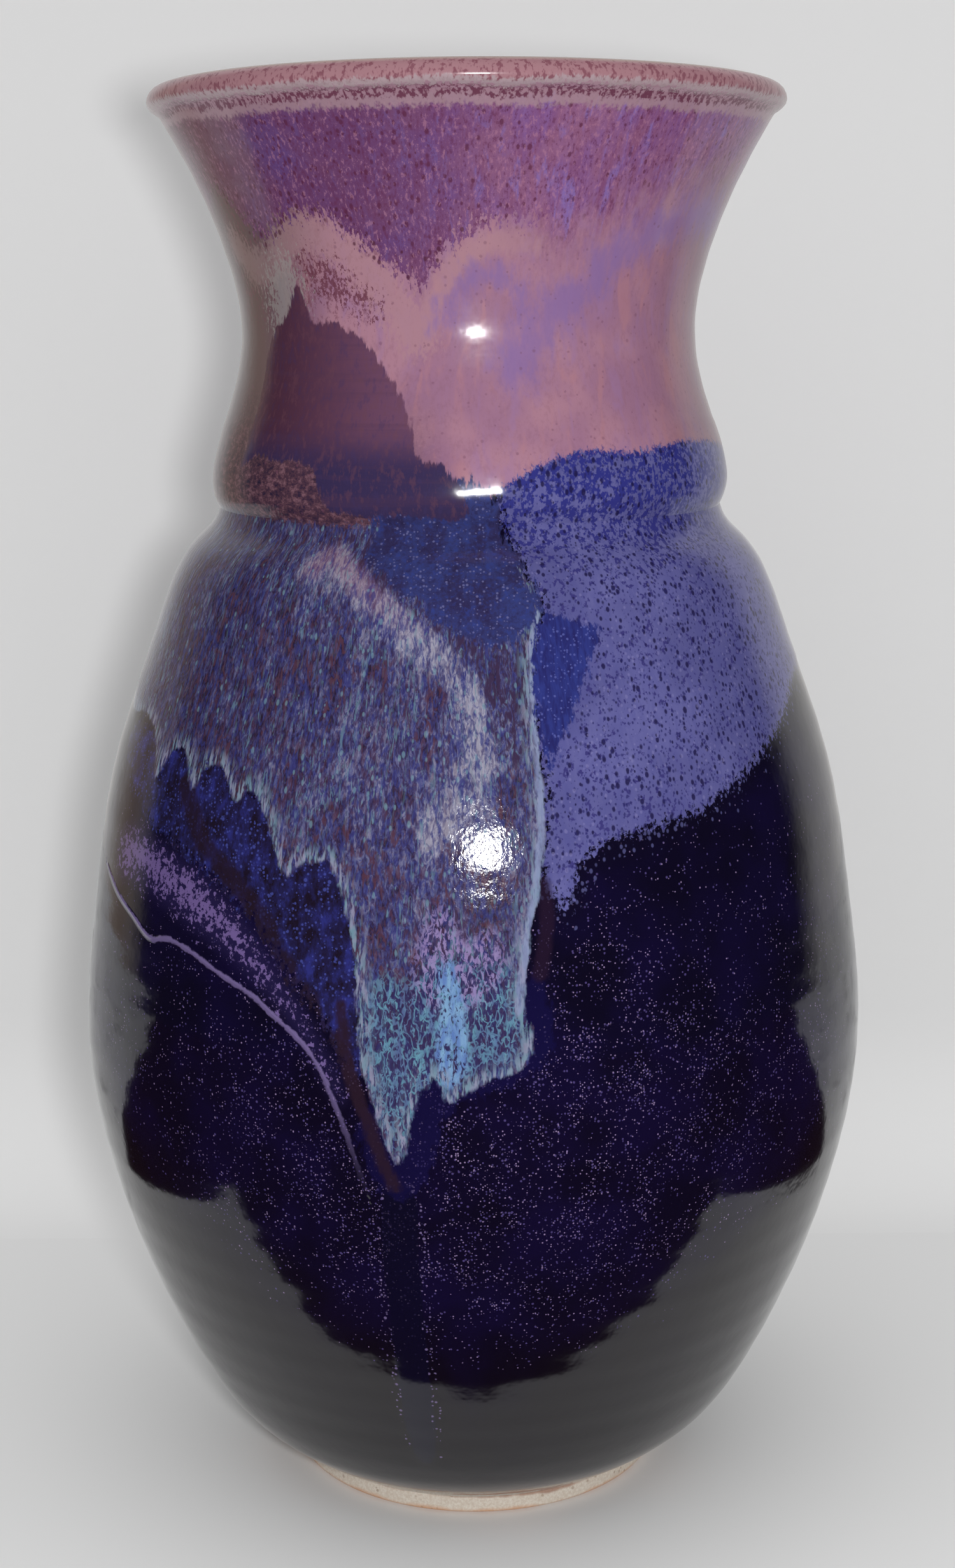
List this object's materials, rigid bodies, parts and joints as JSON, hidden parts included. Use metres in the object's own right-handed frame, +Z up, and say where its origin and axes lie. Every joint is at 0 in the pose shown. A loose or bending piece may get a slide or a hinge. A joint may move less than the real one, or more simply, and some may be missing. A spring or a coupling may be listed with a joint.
{
  "type": "vase",
  "caption": "Tall wheel-thrown stoneware vase with a rounded belly, collar ridge, narrow throat and flared lip, glazed inside and out over a bare foot ring.",
  "frame": {"origin": "centre of the foot ring's underside, where the vase stands", "axes": "+Z up along the turning axis, -Y towards the front, where the two pours meet, +X to the right"},
  "size_m": [0.2026, 0.203, 0.3561],
  "materials": {
    "bare_stoneware": "matte",
    "stoneware_body": "matte",
    "dark_glaze": "gloss",
    "plum_glaze": "gloss",
    "liner_glaze": "gloss",
    "lavender_glaze": "gloss",
    "rutile_glaze": "gloss"
  },
  "bodies": {
    "root": {"foot_ring": "bare_stoneware", "body_section": "stoneware_body", "joint_slip": "stoneware_body", "neck_section": "stoneware_body", "base_glaze": "dark_glaze", "neck_glaze": "plum_glaze", "liner_glaze": "liner_glaze", "lavender_pour": "lavender_glaze", "rutile_pour": "rutile_glaze"}
  },
  "joints": []
}
